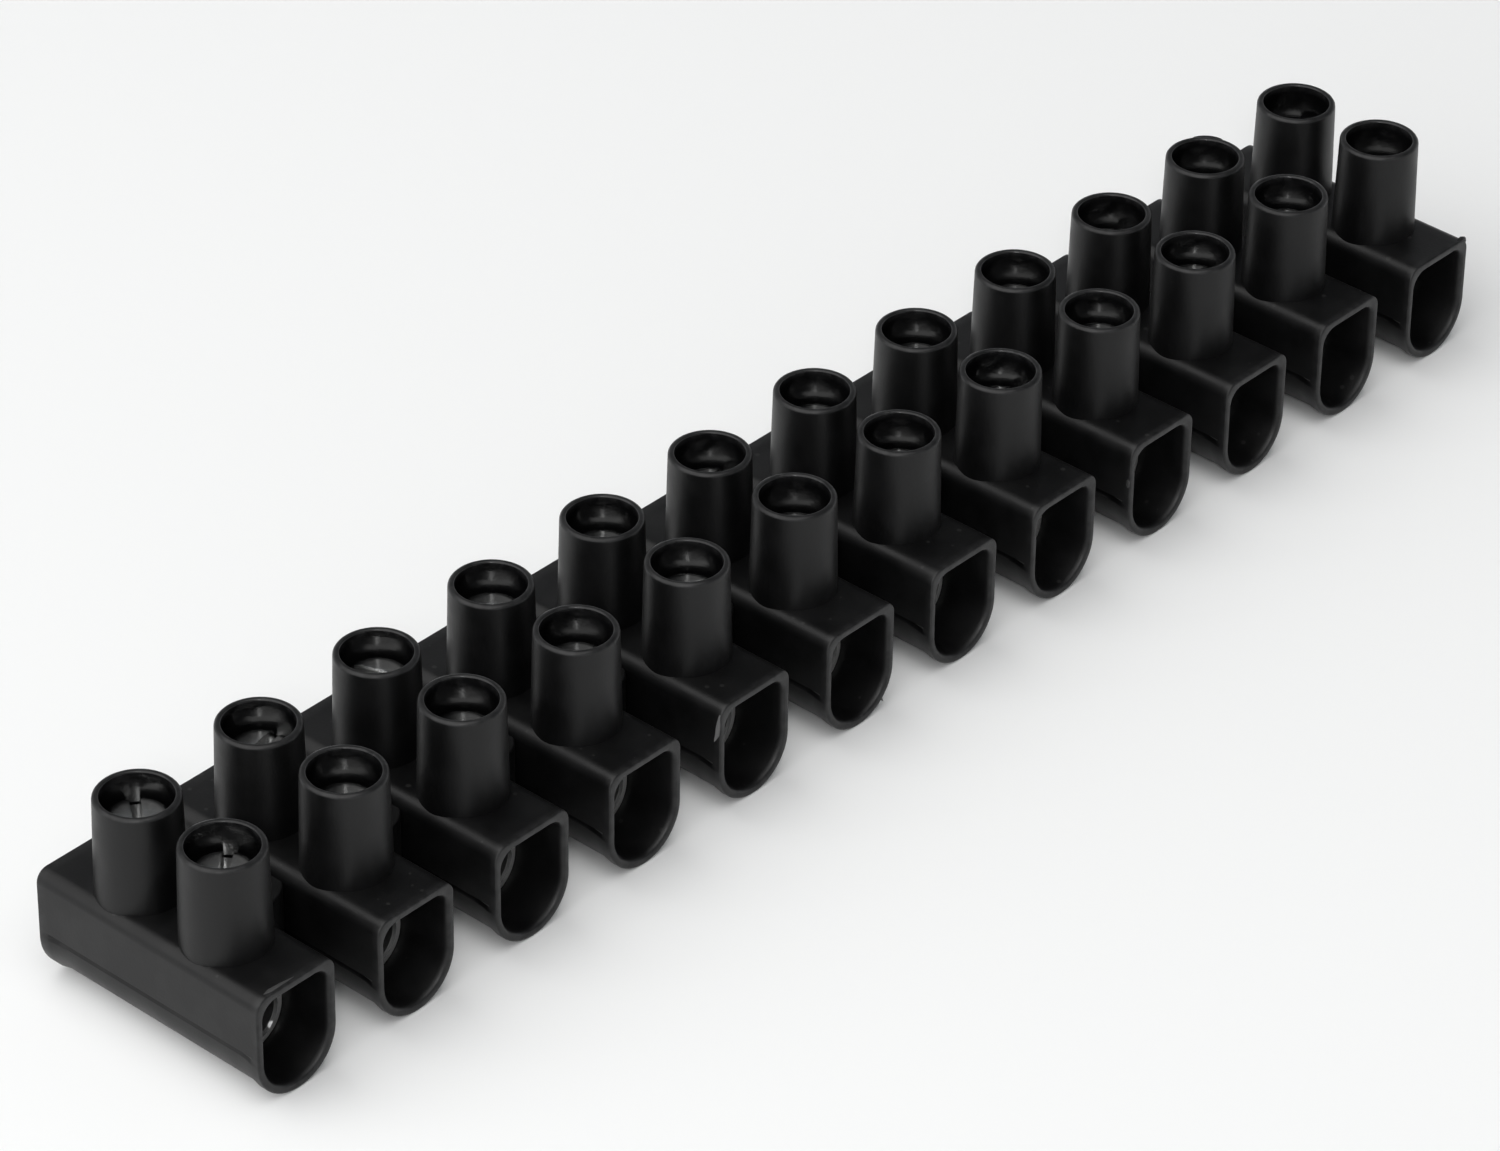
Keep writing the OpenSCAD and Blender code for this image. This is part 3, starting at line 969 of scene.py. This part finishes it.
def screw_tree():
    """Geometry nodes: rolls a thread on a blank, turns it and sets it in its place."""
    tree, given, made = new_tree(
        "rolled_screw", "GeometryNodeTree",
        [("Geometry", "NodeSocketGeometry"), ("Blank", "NodeSocketObject"),
         ("Crest radius", "NodeSocketFloat"), ("Ridge radius", "NodeSocketFloat"),
         ("Thread start", "NodeSocketFloat"), ("Thread length", "NodeSocketFloat"),
         ("Thread pitch", "NodeSocketFloat"), ("Turn", "NodeSocketFloat"),
         ("Place", "NodeSocketVector"), ("Plate", "NodeSocketMaterial")],
        [("Geometry", "NodeSocketGeometry")],
    )
    tree.is_modifier = True
    path_r = math_node(tree, "SUBTRACT", given["Crest radius"], given["Ridge radius"])
    helix = put(tree, "GeometryNodeCurveSpiral", {
        "Resolution": THREAD_STEPS, "Start Radius": path_r, "End Radius": path_r,
        "Height": given["Thread length"],
        "Rotations": math_node(tree, "DIVIDE", given["Thread length"], given["Thread pitch"]),
    })
    rod = put(
        tree, "GeometryNodeCurvePrimitiveCircle", {"Resolution": RIDGE_SIDES, "Radius": given["Ridge radius"]}
    )
    ridge = put(tree, "GeometryNodeCurveToMesh", {
        "Curve": helix.outputs["Curve"], "Profile Curve": rod.outputs["Curve"], "Fill Caps": True,
    })
    lift = put(tree, "ShaderNodeCombineXYZ", {"Z": given["Thread start"]}).outputs["Vector"]
    raised = put(tree, "GeometryNodeTransform", {"Geometry": ridge.outputs["Mesh"], "Translation": lift})
    blank = put(tree, "GeometryNodeObjectInfo", {"Object": given["Blank"]}).outputs["Geometry"]
    threaded = put(tree, "GeometryNodeMeshBoolean", operation="UNION", solver="MANIFOLD")
    tree.links.new(blank, threaded.inputs["Mesh 2"])
    tree.links.new(raised.outputs["Geometry"], threaded.inputs["Mesh 2"])
    position = put(tree, "GeometryNodeInputPosition").outputs["Position"]
    place = put(tree, "ShaderNodeSeparateXYZ", {"Vector": position})
    flat = put(tree, "ShaderNodeCombineXYZ", {"X": place.outputs["X"], "Y": place.outputs["Y"]})
    radius = put(tree, "ShaderNodeVectorMath", {0: flat.outputs["Vector"]}, operation="LENGTH")
    turned = put(tree, "GeometryNodeStoreNamedAttribute", {
        "Geometry": threaded.outputs["Mesh"], "Name": "turned", "Value": radius.outputs["Value"],
    }, data_type="FLOAT", domain="POINT")
    spin = put(tree, "ShaderNodeCombineXYZ", {"Z": given["Turn"]}).outputs["Vector"]
    placed = put(tree, "GeometryNodeTransform", {
        "Geometry": turned.outputs["Geometry"], "Translation": given["Place"], "Rotation": spin,
    })
    plain = put(tree, "GeometryNodeRealizeInstances", {0: placed.outputs["Geometry"]})
    coated = put(
        tree, "GeometryNodeSetMaterial", {"Geometry": plain.outputs[0], "Material": given["Plate"]}
    )
    tree.links.new(coated.outputs["Geometry"], made["Geometry"])
    return tree


class TERMINALSTRIP_OT_screws(bpy.types.Operator):
    """Makes the threaded clamp screws, each turned as far as its solid stands out"""

    bl_idname = "terminal_strip.screws"
    bl_label = "Clamp screws"

    def execute(self, context):
        settings = context.scene.terminal_strip.screw
        low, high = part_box(SCREWS[0])
        shank_len = high.z - low.z - settings.head_height
        blank = screw_blank(settings, high.x - low.x, shank_len)
        tree = screw_tree()
        seat = WIRE_Z + WIRE_R + settings.point_gap
        for name in SCREWS:
            low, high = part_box(name)
            turns = (low.z - seat) / settings.thread_pitch
            screw = new_object(f"{name}_turned", bpy.data.meshes.new(name))
            give_nodes(screw, tree, {
                "Blank": blank, "Crest radius": settings.shank_width / 2, "Ridge radius": settings.ridge,
                "Thread start": settings.point_height + settings.ridge,
                "Thread length": shank_len - settings.point_height - BARE_SHANK * settings.ridge,
                "Thread pitch": settings.thread_pitch, "Turn": 2 * math.pi * turns,
                "Place": ((low.x + high.x) / 2, (low.y + high.y) / 2, low.z), "Plate": plate_material(),
            })
            settle(screw)
            soften(screw)
            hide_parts(name)
            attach(screw, name)
        bpy.data.objects.remove(blank)
        return {"FINISHED"}


class TERMINALSTRIP_OT_inserts(bpy.types.Operator):
    """Gives the plated inserts their finish"""

    bl_idname = "terminal_strip.inserts"
    bl_label = "Clamp inserts"

    def execute(self, context):
        for name in INSERTS:
            for place in frame["nodes"][name].material_slots:
                place.material = insert_material()
        return {"FINISHED"}


# The stage

# Where the lamps stand, what both point at, and their tints
KEY_PLACE = Vector((mm(-400), mm(40), mm(620)))
FRONT_PLACE = Vector((mm(-500), mm(-430), mm(470)))
LAMP_AIM = Vector((0, 0, mm(8)))
KEY_TINT = (1.0, 0.995, 0.985)
FRONT_TINT = (1.0, 1.0, 1.0)
# Where the horizon's colour ends and the ceiling's begins, from 0 on the level to 1 straight up
HORIZON_END = 0.17
CEILING_START = 0.42


def add_lamp(name, place, size, power, tint):
    """A square soft lamp that points at the strip."""
    light = bpy.data.lights.new(name, "AREA")
    light.shape = "SQUARE"
    light.size = size
    light.energy = power
    light.color = tint
    lamp = new_object(name, light)
    lamp.location = place
    lamp.rotation_euler = (LAMP_AIM - place).to_track_quat("-Z", "Y").to_euler()


def room_light(settings):
    """A world that is pale low down, like a white sweep, and dim above."""
    world = bpy.data.worlds.new("room")
    world.use_nodes = True
    tree = world.node_tree
    way = put(tree, "ShaderNodeTexCoord").outputs["Generated"]
    height = put(tree, "ShaderNodeSeparateXYZ", {"Vector": way}).outputs["Z"]
    rise = ramp(tree, height, HORIZON_END, CEILING_START)
    tone = blend_colours(tree, rise, tuple(settings.horizon), tuple(settings.ceiling))
    shade = next(node for node in tree.nodes if node.type == "BACKGROUND")
    tree.links.new(tone, shade.inputs["Color"])
    return world


def add_camera():
    """The camera that was fitted to the photograph."""
    level = math.cos(CAMERA_RISE)
    back = Vector((math.sin(CAMERA_TURN) * level, -math.cos(CAMERA_TURN) * level, math.sin(CAMERA_RISE)))
    right = Vector((0, 0, 1)).cross(back).normalized()
    up = back.cross(right)
    right, up = (
        right * math.cos(CAMERA_ROLL) + up * math.sin(CAMERA_ROLL),
        up * math.cos(CAMERA_ROLL) - right * math.sin(CAMERA_ROLL),
    )
    data = bpy.data.cameras.new("camera")
    data.sensor_width = SENSOR_W
    data.lens = SENSOR_W * CAMERA_FOCAL_PX / FRAME_W
    data.clip_start = mm(10)
    camera = new_object("camera", data)
    camera.location = CAMERA_AIM + back * CAMERA_AWAY + right * CAMERA_RIGHT + up * CAMERA_UP
    camera.rotation_euler = Matrix((right, up, back)).transposed().to_euler()
    bpy.context.scene.camera = camera


class TERMINALSTRIP_OT_stage(bpy.types.Operator):
    """Makes the floor, the lamps, the room's light and the camera"""

    bl_idname = "terminal_strip.stage"
    bl_label = "Stage"

    def execute(self, context):
        settings = context.scene.terminal_strip.stage
        half = settings.floor_size / 2
        mesh = bpy.data.meshes.new("floor")
        corners = [(-half, -half, 0), (half, -half, 0), (half, half, 0), (-half, half, 0)]
        mesh.from_pydata(corners, [], [(0, 1, 2, 3)])
        mesh.materials.append(paper_material())
        floor = new_object("floor", mesh)
        add_lamp("key_lamp", KEY_PLACE, settings.key_size, settings.key_power, KEY_TINT)
        add_lamp("front_lamp", FRONT_PLACE, settings.front_size, settings.front_power, FRONT_TINT)
        context.scene.world = room_light(settings)
        context.scene.view_settings.view_transform = "Standard"
        add_camera()
        return {"FINISHED"}


class TERMINALSTRIP_PT_sidebar(bpy.types.Panel):
    """Lists the steps and what can be changed"""

    bl_idname = "TERMINALSTRIP_PT_sidebar"
    bl_label = "Terminal strip"
    bl_space_type = "VIEW_3D"
    bl_region_type = "UI"
    bl_category = "Terminal strip"

    def draw(self, context):
        settings = context.scene.terminal_strip
        for step, group in STEPS:
            box = self.layout.box()
            box.operator(step.bl_idname)
            part = getattr(settings, group)
            for name in part.__annotations__:
                box.prop(part, name)


STEPS = [
    (TERMINALSTRIP_OT_moulding, "moulding"),
    (TERMINALSTRIP_OT_burrs, "burr"),
    (TERMINALSTRIP_OT_inserts, "insert"),
    (TERMINALSTRIP_OT_screws, "screw"),
    (TERMINALSTRIP_OT_stage, "stage"),
]
CLASSES = [
    MouldingSettings, BurrSettings, ScrewSettings, InsertSettings, StageSettings, TerminalStripSettings,
    *(step for step, group in STEPS), TERMINALSTRIP_PT_sidebar,
]


def register():
    """Makes the settings, the steps and the panel known to Blender."""
    for item in CLASSES:
        bpy.utils.register_class(item)
    bpy.types.Scene.terminal_strip = bpy.props.PointerProperty(type=TerminalStripSettings)


def unregister():
    """Takes them away again."""
    del bpy.types.Scene.terminal_strip
    for item in reversed(CLASSES):
        bpy.utils.unregister_class(item)


def main():
    """Takes every step in order."""
    register()
    for step, group in STEPS:
        area, action = step.bl_idname.split(".")
        getattr(getattr(bpy.ops, area), action)()


if __name__ == "__main__":
    main()
